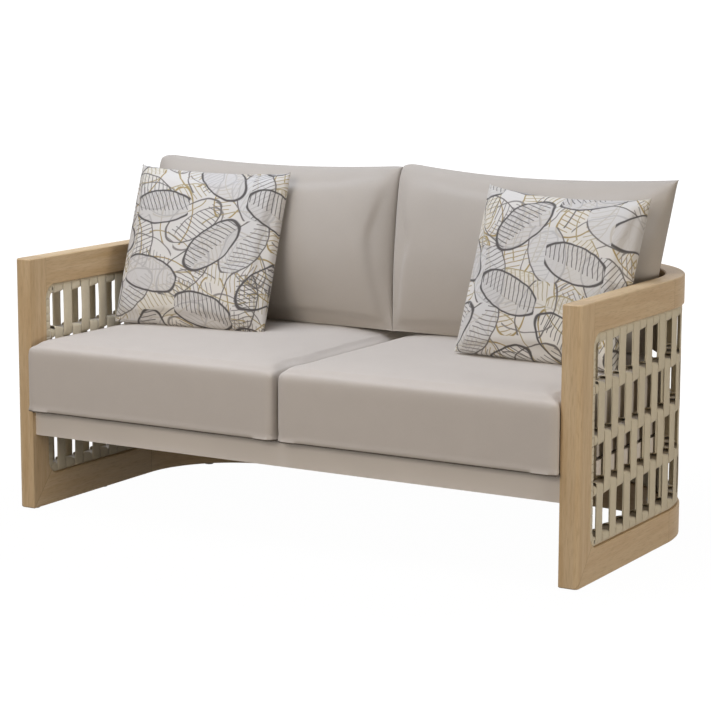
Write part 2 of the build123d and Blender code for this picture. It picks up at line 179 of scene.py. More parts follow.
def teak(name, along, offset, joints=(), mirror=1):
    """Teak whose grain runs along an axis, or round a rear corner by angle times radius. Noise reads a
    place whose length along the grain is divided by 14, so streaks are that much longer than wide.
    The figure is 24 mm across, and pores are drawn 2.4 mm, wider than real ones. An end and a joint,
    given as a point and a normal, are darker."""
    grain_stretch, hairline, hairline_blur = 14, 0.0004, 0.0014
    made, tree = new_material(name)
    spot = add_node(tree, "TexCoord").outputs
    if along == "bend":
        mirrored = add_node(tree, "VectorMath", (spot["Object"], (mirror, 1, 1)), operation="MULTIPLY")
        gone = add_node(tree, "VectorMath", (mirrored, (*corner_centre, 0.0)), operation="SUBTRACT")
        flat = add_node(tree, "VectorMath", (gone, (1, 1, 0)), operation="MULTIPLY")
        reach = add_node(tree, "VectorMath", (flat,), operation="LENGTH").outputs["Value"]
        parts = add_node(tree, "SeparateXYZ", (gone,)).outputs
        angle = add_node(tree, "Math", (parts[1], parts[0]), operation="ARCTAN2")
        bent = add_node(tree, "Math", (angle, bend_radius / grain_stretch), operation="MULTIPLY")
        laid = add_node(tree, "CombineXYZ", (reach, bent, parts[2]))
    else:
        scale = [1 / grain_stretch if axis == along else 1 for axis in "XYZ"]
        laid = add_node(tree, "Mapping", {"Vector": spot["Object"], "Scale": scale})
    moved = add_node(tree, "VectorMath", (laid, offset), operation="ADD")
    wander = add_node(tree, "TexNoise", {"Vector": moved, "Scale": 9, "Detail": 2}).outputs["Color"]
    drift = add_node(tree, "VectorMath", {0: wander, "Scale": 0.03}, operation="SCALE")
    place = add_node(tree, "VectorMath", (moved, drift), operation="ADD")
    bands = add_node(tree, "TexNoise", {"Vector": place, "Scale": 42, "Detail": 4, "Roughness": 0.6})
    pores = add_node(tree, "TexNoise", {"Vector": place, "Scale": 420, "Detail": 2, "Roughness": 0.5})
    tint = add_node(tree, "ValToRGB", (bands,))
    stops = tint.color_ramp.elements
    stops[0].position, stops[0].color = 0.36, teak_warm
    stops[1].position, stops[1].color = 0.64, teak_pale
    fleck = add_node(tree, "MapRange", (pores, 0.50, 0.72, 0.0, 0.32))
    grained = add_node(tree, "Mix", {0: fleck, 6: tint, 7: teak_dark}, data_type="RGBA").outputs[2]
    dark = 0.0
    if along in "XYZ":
        facing = add_node(tree, "SeparateXYZ", (spot["Normal"],)).outputs
        end = add_node(tree, "Math", (facing["XYZ".index(along)],), operation="ABSOLUTE")
        dark = add_node(tree, "MapRange", (end, 0.6, 0.9, 0.0, 0.3))
    for point, normal in joints:
        gone = add_node(tree, "VectorMath", (spot["Object"], point), operation="SUBTRACT")
        far = add_node(tree, "VectorMath", (gone, normal), operation="DOT_PRODUCT").outputs["Value"]
        near = add_node(tree, "Math", (far,), operation="ABSOLUTE")
        line = add_node(tree, "MapRange", (near, hairline, hairline_blur, 0.55, 0.0))
        dark = add_node(tree, "Math", (dark, line), operation="MAXIMUM")
    shaded = add_node(tree, "Mix", {0: dark, 6: grained, 7: teak_dark}, data_type="RGBA").outputs[2]
    relief = add_node(tree, "Bump", {"Height": pores, "Strength": 0.12, "Distance": 0.0004})
    dull = add_node(tree, "MapRange", (bands, 0.3, 0.7, 0.52, 0.62))
    surface = add_node(tree, "BsdfPrincipled", {
        "Base Color": shaded, "Roughness": dull, "Normal": relief, "IOR": 1.5})
    add_node(tree, "OutputMaterial", (surface,))
    return made


def finish_with(name, made):
    """Puts one material on every slot of a CAD node."""
    mesh = nodes[name].data
    mesh.materials.clear()
    mesh.materials.append(made)


mitre = (0, -(opening_low - wood_low), post_rear - post_front)
mitre = tuple(np.array(mitre) / np.linalg.norm(mitre))
butt = ((0, post_rear, 0), (0, 1, 0))
bend_start = ((0, corner_centre[1], 0), (0, 1, 0))
for side, x in (("left", -1), ("right", 1)):
    foot = ((0, post_front, wood_low), mitre)
    bend_end = ((x * corner_centre[0], 0, 0), (1, 0, 0))
    for piece, along, joints in (
        ("front_post", "Z", [foot]),
        ("arm_rail", "Y", [butt, bend_start]),
        ("side_bottom_rail", "Y", [foot, bend_start]),
        ("top_corner_rail", "bend", [bend_start, bend_end]),
        ("bottom_corner_rail", "bend", [bend_start, bend_end]),
    ):
        board = 0.37 * x + 0.61 * len(piece)
        own_place = (board, 0.3 * board, 0.7 * board)
        board_name = f"sealed teak, {side} {piece.replace('_', ' ')}"
        finish_with(f"{side}_{piece}", teak(board_name, along, own_place, joints, x))
ends = [((x * corner_centre[0], 0, 0), (1, 0, 0)) for x in (-1, 1)]
for piece, board in (("back_top_rail", 3.1), ("back_bottom_rail", 5.7)):
    finish_with(piece, teak(f"sealed teak, {piece.replace('_', ' ')}", "X", (0.2, board, 1.3), ends))
finish_with("rail_tenons", teak("sealed teak, tenons", "Y", (1.1, 0.4, 2.2)))


# The seat frame, its apron, and the flat tubes inside the woven panels are aluminium tube with a
# matt powder coat in the cushions' colour: a fine even grain and a slight softening of gloss.
def matt_skin(name, hex_colour, roughness):
    """Baked powder or moulded plastic: a tiny orange peel, a millimetre across, and a faint drift of
    tone."""
    made, tree = new_material(name)
    place = add_node(tree, "TexCoord").outputs["Object"]
    peel = add_node(tree, "TexNoise", {"Vector": place, "Scale": 900, "Detail": 2})
    drift = add_node(tree, "TexNoise", {"Vector": place, "Scale": 5, "Detail": 2})
    shade = add_node(tree, "MapRange", (drift, 0.3, 0.7, 0.96, 1.03))
    colour = add_node(tree, "HueSaturation", {"Color": linear(hex_colour), "Value": shade})
    relief = add_node(tree, "Bump", {"Height": peel, "Strength": 0.15, "Distance": 0.0002})
    surface = add_node(tree, "BsdfPrincipled", {
        "Base Color": colour, "Roughness": roughness, "Normal": relief})
    add_node(tree, "OutputMaterial", (surface,))
    return made


frame_coat = matt_skin("powder coated aluminium, sand", "#e6dfd7", 0.5)
for part in ("seat_side_rail", "seat_corner_rail", "side_weave_tubes", "corner_weave_tubes",
             "weave_end_tube"):
    finish_with(f"left_{part}", frame_coat)
    finish_with(f"right_{part}", frame_coat)
for part in ("front_apron", "seat_rear_rail", "seat_bearer", "seat_slats", "seat_support_bars",
             "back_weave_tubes"):
    finish_with(part, frame_coat)


# Hexagon head screws of plain stainless steel hold the bars on the bottom rails, and round
# glides of black moulded plastic stand under the wood.
def drawn_steel(name, hex_colour, roughness):
    """Drawn steel: fine scratches, half a millimetre apart, that vary the gloss."""
    made, tree = new_material(name)
    place = add_node(tree, "TexCoord").outputs["Object"]
    scratch = add_node(tree, "TexNoise", {"Vector": place, "Scale": 2000, "Detail": 2})
    gloss = add_node(tree, "MapRange", (scratch, 0.0, 1.0, roughness - 0.06, roughness + 0.08))
    surface = add_node(tree, "BsdfPrincipled", {
        "Base Color": linear(hex_colour), "Metallic": 1.0, "Roughness": gloss})
    add_node(tree, "OutputMaterial", (surface,))
    return made


finish_with("support_screws", drawn_steel("stainless steel, plain", "#b9b7b2", 0.34))
finish_with("floor_glides", matt_skin("moulded nylon, black", "#2b2724", 0.6))


# The sides, rounded corners and back are woven from flat polyester strap, each loop round two
# neighbouring flat tubes. Rows take turns along each tube. Straps bow and lean a little.
def quads_of(rows, columns, closed=False):
    """Quads between neighbouring points of a grid stored row by row, and each corner's place on the
    grid before it wraps, for its UV."""
    open_edge = 0 if closed else 1
    row, column = np.meshgrid(np.arange(rows - open_edge), np.arange(columns - open_edge), indexing="ij")
    row = row.ravel()[:, None] + np.array([0, 0, 1, 1])
    column = column.ravel()[:, None] + np.array([0, 1, 1, 0])
    return (row % rows) * columns + column % columns, row, column


def add_piece(name, points, quads, uv):
    """A smooth mesh object at the origin from arrays of points and quads, whose closed surface is
    made to face outwards: its volume, the sum of its corners' triple products, is positive."""
    fan = points[quads]
    volume = sum(np.einsum("ij,ij->", fan[:, 0], np.cross(fan[:, i], fan[:, i + 1])) for i in (1, 2))
    if volume < 0:
        quads, uv = quads[:, ::-1], uv[:, ::-1]
    mesh = bpy.data.meshes.new(name)
    mesh.from_pydata(points.tolist(), [], quads.tolist())
    mesh.polygons.foreach_set("use_smooth", np.full(len(quads), True))
    mesh.uv_layers.new(name="cloth").data.foreach_set("uv", uv.astype(np.float32).ravel())
    return new_object(name, mesh)


strap_thickness = 0.0025
strap_bend = 0.0064
section_across = np.array([-1, -0.93, -0.4, 0.4, 0.93, 1, 0.93, -0.93])
section_face = np.array([0, 0.8, 1, 1, 0.8, 0, -1, -1]) * strap_thickness / 2
cell_margin = 0.02  # share of its cell that a strap leaves free at each side
tube_flatness = 0.015  # how much less tall than deep a flat tube is
straps_low, straps_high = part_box("right_side_straps")
loop_depth = straps_high.x - straps_low.x
strap_height = loop_depth - tube_flatness
tube_levels = np.linspace(straps_low.z + strap_height / 2, straps_high.z - strap_height / 2, 5)
arc_length = bend_radius * math.pi / 2


def on_panel(run, out):
    """Plan place on the woven wall: run is the length along its middle line from the right corner's
    start, straight before it and after a quarter turn, and out is the distance outwards."""
    turned = np.clip(run, 0, arc_length) / bend_radius
    straight = np.minimum(run, 0) + np.maximum(run - arc_length, 0)
    x = corner_centre[0] + (bend_radius + out) * np.cos(turned) - straight * np.sin(turned)
    y = corner_centre[1] + (bend_radius + out) * np.sin(turned) + straight * np.cos(turned)
    return x, y


def loop_path(half_height, side_steps):
    """A strap's middle line round its tubes, as distance out and height: a rectangle with quarter
    circle corners, anticlockwise, with each long side divided. Also each point's normal and its
    share of the free span, which is 0 at the tubes and 1 half way."""
    edge = strap_thickness / 2 + strap_bend
    reach, rise = loop_depth / 2 - edge, half_height - edge
    corner_points = 4
    places, normals, spans = [], [], []
    for corner, (out, up) in enumerate(((1, 1), (-1, 1), (-1, -1), (1, -1))):
        angles = (corner + np.linspace(0, 1, corner_points)) * math.pi / 2
        ring = np.stack([np.cos(angles), np.sin(angles)], 1)
        places.append(np.array([out * reach, up * rise]) + ring * strap_bend)
        normals.append(ring)
        spans.append(np.zeros(corner_points))
        if corner in (1, 3):
            facing = corner - 2
            ways = np.arange(1, side_steps + 1) / (side_steps + 1)
            side_out = np.full(side_steps, facing * (reach + strap_bend))
            places.append(np.stack([side_out, facing * rise * (2 * ways - 1)], 1))
            normals.append(np.stack([np.full(side_steps, facing), np.zeros(side_steps)], 1))
            spans.append(np.sin(ways * math.pi))
    return np.concatenate(places), np.concatenate(normals), np.concatenate(spans)


def closed_rings(rng, places, path, wide):
    """Straps that each close on themselves, from their points: one index for the strap, one round its
    path and one round its section. UV runs across and along a strap, and each has its own tone."""
    count, steps, around, _ = places.shape
    quads, row, column = quads_of(steps, around, closed=True)
    stretches = np.linalg.norm(np.diff(path, axis=0, append=path[:1]), axis=1)
    lengths = np.concatenate([[0], np.cumsum(stretches)])
    widths = np.append(section_across, section_across[0]) * wide / 2
    uv = np.stack([widths[column], lengths[row]], -1)
    shift = np.arange(count)[:, None, None] * steps * around
    tone = np.repeat(rng.uniform(-1, 1, count), steps * around)
    return places.reshape(-1, 3), (quads + shift).reshape(-1, 4), np.tile(uv, (count, 1, 1)), tone


def strap_loops(rng, middles, wide, low, high, side_steps, lift):
    """Loops of strap round the tubes at heights low and high, or round one tube where they are alike.
    A flat section of eight points with round edges is swept along the path. Between the tubes a loop
    bows sideways, stands off and narrows a little. Where it crosses a tube its front edge stands off
    by lift, given for the lower and the upper crossing, so that the crossing slants."""
    usual_bow, usual_push, narrowing, slants = 0.0010, 0.0005, 0.05, (0.6, 1.3)
    path, normal, span = loop_path((high - low + strap_height) / 2, side_steps)
    count, span = len(middles), span[:, None]
    bow = rng.normal(0, usual_bow, (count, 1, 1)) * span
    push = rng.normal(0, usual_push, (count, 1, 1)) * span
    half_wide = (1 - narrowing * span) * wide * (0.5 - cell_margin)
    run = middles[:, None, None] + bow + section_across * half_wide
    out = path[:, :1] + normal[:, :1] * (section_face + push)
    height = path[:, 1:] + normal[:, 1:] * section_face + (low + high) / 2
    stands = np.where(path[:, 1:] > 0, lift[1], -lift[0]) * (1 - section_across) / 2 * (span == 0)
    height = height + stands * rng.uniform(*slants, (count, 1, 1))
    run, out, height = np.broadcast_arrays(run, out, height)
    return closed_rings(rng, np.stack([*on_panel(run, out), height], -1), path, wide)


def woven_panel(rng, start, pitch, cells, first_cell):
    """All straps of one stretch of wall: in each row every second cell has a loop, neighbouring rows
    take turns, and the outermost tubes are wrapped in the cells between. Only a tube with loops from
    both rows makes a crossing slant."""
    low_lift, high_lift = 0.003, 0.0065
    sets = []
    last = len(tube_levels) - 2
    for row in range(last + 1):
        odd = (row + first_cell) % 2
        middles = start + (np.arange(odd, cells, 2) + 0.5) * pitch
        lift = (low_lift * (row > 0), high_lift * (row < last))
        sets.append(strap_loops(rng, middles, pitch, tube_levels[row], tube_levels[row + 1], 3, lift))
        if row in (0, last):
            between = start + (np.arange(1 - odd, cells, 2) + 0.5) * pitch
            level = tube_levels[0 if row == 0 else -1]
            lift = (low_lift * (row == last), high_lift * (row == 0))
            sets.append(strap_loops(rng, between, pitch, level, level, 0, lift))
    return sets


def gather(parts):
    """Several sets of points, quads, UV and tones as one."""
    points, quads, uv, tone, total = [], [], [], [], 0
    for one in parts:
        points.append(one[0])
        quads.append(one[1] + total)
        uv.append(one[2])
        tone.append(one[3])
        total += len(one[0])
    return np.concatenate(points), np.concatenate(quads), np.concatenate(uv), np.concatenate(tone)


def strap_piece(name, parts, mirror, finish, replaced):
    """One panel's straps as a piece that stands for its CAD node."""
    points, quads, uv, tone = gather(parts)
    made = add_piece(name, points * np.array([mirror, 1, 1]), quads, uv)
    made.data.attributes.new("tone", "FLOAT", "POINT").data.foreach_set("value", tone.astype(np.float32))
    made.data.materials.append(finish)
    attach(made, "frame")
    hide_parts(replaced)


def thread_wave(tree, way, step):
    """Threads side by side: a sine of a length, whose wave is one step long."""
    phase = add_node(tree, "Math", (way, 2 * math.pi / step), operation="MULTIPLY")
    return add_node(tree, "Math", (phase,), operation="SINE")


def strap_cloth(name):
    """Flat woven polyester: ribs along the strap, 2.4 mm apart and so a little coarser than the real
    ones, a crossing thread, and a tone of its own for each turn."""
    rib_step, cross_step, cross_share = 0.0024, 0.0020, 0.4
    made, tree = new_material(name)
    across, along, _ = add_node(tree, "SeparateXYZ", (add_node(tree, "UVMap", uv_map="cloth"),)).outputs
    ribs, threads = thread_wave(tree, across, rib_step), thread_wave(tree, along, cross_step)
    height = add_node(tree, "Math", (threads, cross_share, ribs), operation="MULTIPLY_ADD")
    tone = add_node(tree, "Attribute", attribute_name="tone").outputs["Fac"]
    place = add_node(tree, "TexCoord").outputs["Object"]
    mottle = add_node(tree, "TexNoise", {"Vector": place, "Scale": 60, "Detail": 3})
    value = 0.94
    for part, share in ((tone, 0.035), (height, 0.02), (mottle, 0.12)):
        value = add_node(tree, "Math", (part, share, value), operation="MULTIPLY_ADD")
    colour = add_node(tree, "HueSaturation", {"Color": linear("#ddd3ba"), "Value": value})
    relief = add_node(tree, "Bump", {"Height": height, "Strength": 0.35, "Distance": 0.0004})
    surface = add_node(tree, "BsdfPrincipled", {
        "Base Color": colour, "Roughness": 0.78, "Normal": relief, "Sheen Weight": 0.12})
    add_node(tree, "OutputMaterial", (surface,))
    return made


strap_finish = strap_cloth("woven polyester strap, straw")
side_cells, corner_cells, back_cells = 11, 12, 25
side_start = (straps_low.y - corner_centre[1]) * (1 + cell_margin / side_cells)
side_pitch = -side_start / side_cells
corner_pitch = arc_length / corner_cells
back_pitch = 2 * corner_centre[0] / back_cells
rng = np.random.default_rng(11)
for side, x in (("left", -1), ("right", 1)):
    side_parts = woven_panel(rng, side_start, side_pitch, side_cells, 0)
    corner_parts = woven_panel(rng, 0.0, corner_pitch, corner_cells, side_cells)
    strap_piece(f"{side}_side_weave", side_parts, x, strap_finish, f"{side}_side_straps")
    strap_piece(f"{side}_corner_weave", corner_parts, x, strap_finish, f"{side}_corner_straps")
back_parts = woven_panel(rng, arc_length, back_pitch, back_cells, side_cells + corner_cells)
strap_piece("back_weave", back_parts, 1, strap_finish, "back_straps")


# The front end of each panel is a rounded tube behind the post, bound with the same strap turn by
# turn, so that it looks like a row of flat beads.
end_arc = 0.038
end_inset = 0.0128
tube_half_height = 0.0123
turn_pitch, turn_tilt, turn_cover, turn_drift = 0.0205, 0.10, 0.49, 0.0004


def end_route(ways):
    """Middle line of the end tube in Y and Z, from the top, round, down and round again: straight
    with a quarter circle at each end. Also its direction and its whole length. ways are lengths
    along it."""
    radius = end_arc - end_inset
    centre_y = post_rear + end_arc
    high, low = opening_high - end_arc, opening_low + end_arc
    arc, fall = radius * math.pi / 2, high - low
    first = np.clip(ways, 0, arc) / radius
    last = np.clip(ways - arc - fall, 0, arc) / radius
    down = np.clip(ways - arc, 0, fall)
    y = centre_y - radius * np.sin(first) + radius * (1 - np.cos(last))
    z = high + radius * np.cos(first) - down - radius * np.sin(last)
    angle = first + last
    return y, z, -np.cos(angle), -np.sin(angle), 2 * arc + fall


def bound_end(rng):
    """Turns of strap: rounded rectangles round the tube, standing on its middle line and tilted by
    a tenth, each with the same flat section."""
    *_, whole = end_route(np.zeros(1))
    turns = int(round(whole / turn_pitch))
    middles = (np.arange(turns) + 0.5) * whole / turns
    path, normal, _ = loop_path(tube_half_height, 0)
    ways = middles[:, None, None] + section_across * turn_pitch * turn_cover + path[:, :1] * turn_tilt
    ways = ways + rng.normal(0, turn_drift, (turns, 1, 1))
    out = path[:, :1] + normal[:, :1] * section_face
    inwards = path[:, 1:] + normal[:, 1:] * section_face
    ways, out, inwards = np.broadcast_arrays(ways, out, inwards)
    y, z, along_y, along_z, _ = end_route(ways)
    places = np.stack([rail_middle + out, y - along_z * inwards, z + along_y * inwards], -1)
    return closed_rings(rng, places, path, turn_pitch)


binding_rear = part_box("right_end_binding")[0].y + strap_height - corner_centre[1]
slim = side_start - binding_rear
middle = np.array([binding_rear + slim / 2])
for side, x in (("left", -1), ("right", 1)):
    turns = [strap_loops(rng, middle, slim, z, z, 0, (0.0, 0.0)) for z in tube_levels]
    strap_piece(f"{side}_bound_end", [bound_end(rng)] + turns, x, strap_finish, f"{side}_end_binding")


# The seat cushions are foam blocks in sewn covers of plain woven outdoor cloth, with rolled edges and
# a soft crown. Inner pressure rounds the cover, and it rests flat on the slats.
thread_step = 0.0016


def cloth_finish(name, hex_colour, mapping="box", shadow_band_top=0.0):
    """Plain weave of solution dyed acrylic: two crossing threads, drawn 1.6 mm apart because the real
    0.6 mm would not show, slubs along them, and a slow mottle. Its fibres give a soft sheen. Below
    the height given last the cover is painted dark, a painted shadow of the gap above the apron."""
    steep, slub_stretch = 0.71, 8
    made, tree = new_material(name)
    spot = add_node(tree, "TexCoord").outputs
    place = add_node(tree, "SeparateXYZ", (spot["Object"],)).outputs
    if mapping == "uv":
        warp, weft, _ = add_node(tree, "SeparateXYZ", (add_node(tree, "UVMap", uv_map="cloth"),)).outputs
    else:
        facing = add_node(tree, "VectorMath", (spot["Normal"],), operation="ABSOLUTE")
        facing = add_node(tree, "SeparateXYZ", (facing,)).outputs
        sideways = add_node(tree, "Math", (facing[0], steep), operation="GREATER_THAN")
        level = add_node(tree, "Math", (facing[2], steep), operation="GREATER_THAN")
        warp = add_node(tree, "Mix", {0: sideways, 2: place[0], 3: place[1]})
        weft = add_node(tree, "Mix", {0: level, 2: place[2], 3: place[1]})
    warp_wave, weft_wave = thread_wave(tree, warp, thread_step), thread_wave(tree, weft, thread_step)
    weave = add_node(tree, "Math", (warp_wave, weft_wave), operation="MULTIPLY")
    slub_way = add_node(tree, "Math", (warp, slub_stretch), operation="MULTIPLY")
    slub_place = add_node(tree, "CombineXYZ", (slub_way, weft))
    slub = add_node(tree, "TexNoise", {"Vector": slub_place, "Scale": 130, "Detail": 2})
    mottle = add_node(tree, "TexNoise", {"Vector": spot["Object"], "Scale": 14, "Detail": 4})
    value = 0.92
    for part, share in ((weave, 0.018), (slub, 0.09), (mottle, 0.07)):
        value = add_node(tree, "Math", (part, share, value), operation="MULTIPLY_ADD")
    colour = add_node(tree, "HueSaturation", {"Color": linear(hex_colour), "Value": value})
    # Painted shadow: a dark brown-grey band at the cover's foot stands for the shade between seat and
    # apron
    if shadow_band_top:
        under = add_node(tree, "MapRange", (place[2], shadow_band_top, shadow_band_top + 0.001, 1.0, 0.0))
        both = add_node(tree, "Mix", {0: under, 6: colour, 7: linear("#5f564c")}, data_type="RGBA")
        colour = both.outputs[2]
    raised = add_node(tree, "Math", (weave, slub), operation="ADD")
    relief = add_node(tree, "Bump", {"Height": raised, "Strength": 0.22, "Distance": 0.0004})
    surface = add_node(tree, "BsdfPrincipled", {
        "Base Color": colour, "Roughness": 0.85, "Normal": relief,
        "Sheen Weight": 0.22, "Sheen Roughness": 0.45})
    add_node(tree, "OutputMaterial", (surface,))
    return made


def points_of(mesh):
    """A mesh's points as an array."""
    held = np.zeros(len(mesh.vertices) * 3, np.float32)
    mesh.vertices.foreach_get("co", held)
    return held.reshape(-1, 3).astype(float)


def relax(made, pressure, reach, sink, grown=0.0, frames=20, rounds=8):
    """Blows the cover up as cloth with inner pressure and no weight, and then moves each point by
    that: along its normal at most reach outwards and sink inwards, because the filling holds the
    cover out, and sideways at most reach. grown is the share that the cloth is larger than its
    shape. In each of the rounds every point's movement is averaged with its neighbours', so that
    the cover stays as smooth as a filled one."""
    before = points_of(made.data)
    blown = made.modifiers.new("blown", "CLOTH")
    settings = blown.settings
    settings.quality = 5
    settings.mass = 0.25
    settings.tension_stiffness = 14
    settings.compression_stiffness = 10
    settings.shear_stiffness = 5
    settings.bending_stiffness = 0.6
    settings.shrink_min = -grown
    settings.use_pressure = True
    settings.uniform_pressure_force = pressure
    settings.effector_weights.gravity = 0
    blown.collision_settings.use_collision = False
    blown.point_cache.frame_start, blown.point_cache.frame_end = 1, frames
    for step in range(1, frames + 1):
        bpy.context.scene.frame_set(step)
    held = made.evaluated_get(bpy.context.evaluated_depsgraph_get()).to_mesh()
    after = points_of(held)
    made.modifiers.remove(blown)
    bpy.context.scene.frame_set(1)
    facing = np.zeros(len(before) * 3, np.float32)
    made.data.vertices.foreach_get("normal", facing)
    facing = facing.reshape(-1, 3)
    moved = after - before
    ends = np.zeros(len(made.data.edges) * 2, np.int32)
    made.data.edges.foreach_get("vertices", ends)
    ends = ends.reshape(-1, 2)
    met = np.bincount(ends.ravel(), minlength=len(before))[:, None]
    for _ in range(rounds):
        total = np.stack([np.bincount(ends[:, 0], moved[ends[:, 1], axis], len(before))
                          + np.bincount(ends[:, 1], moved[ends[:, 0], axis], len(before))
                          for axis in range(3)], 1)
        moved = (moved + total / met) / 2
    rise = np.einsum("ij,ij->i", moved, facing)[:, None]
    slide = moved - rise * facing
    far = np.linalg.norm(slide, axis=1, keepdims=True)
    slide *= np.minimum(1, reach / np.maximum(far, 1e-9))
    capped = np.where(rise > 0, reach * np.tanh(rise / reach), sink * np.tanh(rise / sink))
    return before + slide + facing * capped


def set_points(made, points):
    """Moves a mesh object's points to the places in an array."""
    made.data.vertices.foreach_set("co", points.astype(np.float32).ravel())
    made.data.update()


def soften(made):
    """A live subdivision, as fine in the render as on screen."""
    soft = made.modifiers.new("soft", "SUBSURF")
    soft.levels = soft.render_levels = 1


def outline_depth(x, y, low, high, radii):
    """How far a plan point lies inside a rectangle whose corners are rounded by their own radii,
    given from the low corner anticlockwise: the signed distance, negative outside."""
    middle, half = (low + high) / 2, (high - low) / 2
    px, py = x - middle[0], y - middle[1]
    radius = np.where(px > 0, np.where(py > 0, radii[2], radii[1]), np.where(py > 0, radii[3], radii[0]))
    qx, qy = np.abs(px) - half[0] + radius, np.abs(py) - half[1] + radius
    outside = np.hypot(np.maximum(qx, 0), np.maximum(qy, 0)) + np.minimum(np.maximum(qx, qy), 0)
    return radius - outside


# The first number is how high the painted shadow band at each seat cover's foot reaches
shadow_band_height, seat_voxel = 0.0055, 0.009
fitted_corner, rear_corner = 0.022, 0.262
rim_reach, rim_inset, slope_step = 0.035, 0.001, 1e-4
lobe_start, lobe_blend, lobe_swell = 0.70, 0.06, 0.009
post_gap, post_blend, front_blend, inset = 0.004, 0.003, 0.007, 0.0005
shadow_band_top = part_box("left_seat_cushion")[0].z + shadow_band_height
seat_cloth = cloth_finish("plain woven acrylic, sand", "#c8c0b7", shadow_band_top=shadow_band_top)
ring_levels = (0.0, 0.0078, 0.026, 0.142, 0.1589, 0.168, 0.1802, 0.1901, 0.195)
new_levels = (0.0, 0.0025, 0.010, 0.150, 0.1705, 0.1805, 0.188, 0.193, 0.1955)
push_levels, pushes = (0.0, 0.0078, 0.026, 0.142, 0.168), (0.021, 0.0065, 0.0, 0.0, 0.008)
for side, x in (("left", -1), ("right", 1)):
    low, high = (np.array(corner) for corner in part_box(f"{side}_seat_cushion"))
    made = new_object(f"{side}_seat_pad", nodes[f"{side}_seat_cushion"].data.copy())

    # The rolled edges are squared up a little: rings of points move out or in and to new heights
    points = points_of(made.data)
    level = points[:, 2] - low[2]
    out = points[:, :2] - (low[:2] + high[:2]) / 2
    near_rim = np.abs(out) > (high[:2] - low[:2]) / 2 - rim_reach
    push = np.interp(level, push_levels, pushes) - rim_inset
    points[:, :2] += np.sign(out) * near_rim * push[:, None]
    points[:, 2] = low[2] + np.interp(level, ring_levels, new_levels)
    set_points(made, points)
    remesh = made.modifiers.new("even", "REMESH")
    remesh.mode, remesh.voxel_size, remesh.use_smooth_shade = "VOXEL", seat_voxel, True
    even = bpy.data.meshes.new_from_object(made.evaluated_get(bpy.context.evaluated_depsgraph_get()))
    made.modifiers.clear()
    made.data = even
    points = relax(made, pressure=4.0, reach=0.004, sink=0.002, grown=0.001)

    # From the posts' front on, the cover stays inside its solid's plan outline. Ahead of them, where
    # there is room, its outer end swells sideways
    radii = [fitted_corner] * 4
    radii[2 if x > 0 else 3] = rear_corner
    plan = (low[:2], high[:2], radii)
    depth = outline_depth(points[:, 0], points[:, 1], *plan)
    slope_x = (outline_depth(points[:, 0] + slope_step, points[:, 1], *plan) - depth) / slope_step
    slope_y = (outline_depth(points[:, 0], points[:, 1] + slope_step, *plan) - depth) / slope_step
    behind_post = np.clip((points[:, 1] - (post_front - post_gap)) / post_blend, 0, 1)
    outside = np.minimum(depth - inset, 0) * behind_post
    ahead = np.clip((post_front - post_blend - points[:, 1]) / front_blend, 0, 1)
    beside = np.clip((x * points[:, 0] - lobe_start) / lobe_blend, 0, 1)
    points[:, 0] += x * lobe_swell * ahead * (3 - 2 * ahead) * ahead * beside
    points[:, 0] -= slope_x * outside
    points[:, 1] -= slope_y * outside
    points[:, 2] = np.maximum(points[:, 2], low[2])
    set_points(made, points)
    soften(made)
    made.data.materials.clear()
    made.data.materials.append(seat_cloth)
    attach(made, f"{side}_seat")
    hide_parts(f"{side}_seat_cushion")


# The back cushions are two panels of the same cloth sewn at the edge round a fibre filling: full,
# wider at the top, with the outer side drawn in, a sagging top, and one corner that stays a point.
# Their cloth is coloured darker than the seats': painted shade.
def eased_steps(full, round_reach, depth, count):
    """Places from 0 to full whose spacing is even along a section that is a quarter ellipse at both
    ends, as wide as round_reach and as high as depth, and flat between."""
    fine_count = 4001
    ways = np.linspace(0, full, fine_count)
    from_end = np.minimum(np.minimum(ways, full - ways) / round_reach, 1)
    rise = depth * np.sqrt(1 - (1 - from_end) ** 2)
    length = np.concatenate([[0], np.cumsum(np.hypot(np.diff(ways), np.diff(rise)))])
    even = np.linspace(0, length[-1], count)
    return np.interp(even, length, ways) / full, even


def sewn_pair(outline, faces, count_across, count_up, size):
    """Two sewn panels with a common rim, as points, quads and UV: a point's place in the outline comes
    from its two shares. Its depth is a quarter ellipse of its distance from the seam, where the
    distances from two sides melt together at a corner, with a broad swell that is highest in the
    middle. faces gives for the front and the back panel the depth, the swell, how far in the ellipse
    reaches from the sides, the top and the foot, and the power of each that fills or thins it."""
    swell_power = 0.7
    points, quads, uv = [], [], []
    panel = count_up * count_across
    for face, (depth, swell, reach_side, reach_top, reach_foot, *powers) in zip((-1, 1), faces):
        share_x, cloth_x = eased_steps(size[0], reach_side, depth, count_across)
        share_z, cloth_z = eased_steps(size[1], reach_top, depth, count_up)
        u, v = np.meshgrid(share_x, share_z)
        x, z = outline(u, v)
        near = (np.minimum(u, 1 - u) * size[0] / reach_side, (1 - v) * size[1] / reach_top,
                v * size[1] / reach_foot)
        side, top, foot = (np.sqrt(1 - (1 - np.minimum(part, 1)) ** 2) for part in near)
        rise = side ** powers[0] * top ** powers[1] * foot ** powers[2]
        y = face * (depth * rise + swell * (np.sin(math.pi * u) * np.sin(math.pi * v)) ** swell_power)
        points.append(np.stack([x, y, z], -1).reshape(-1, 3))
        order = slice(None, None, -face)
        corners, row, column = quads_of(count_up, count_across)
        quads.append(corners[:, order] + (panel if face > 0 else 0))
        uv.append(np.stack([cloth_x[column], cloth_z[row]], -1)[:, order])

    # Each rim point of the second panel is the first panel's
    index = np.arange(panel).reshape(count_up, count_across)
    rim = np.ones(index.shape, bool)
    rim[1:-1, 1:-1] = False
    target = np.arange(2 * panel)
    target[panel + index[rim]] = index[rim]
    kept, new_index = np.unique(target, return_inverse=True)
    return np.concatenate(points)[kept], new_index[np.concatenate(quads)], np.concatenate(uv)
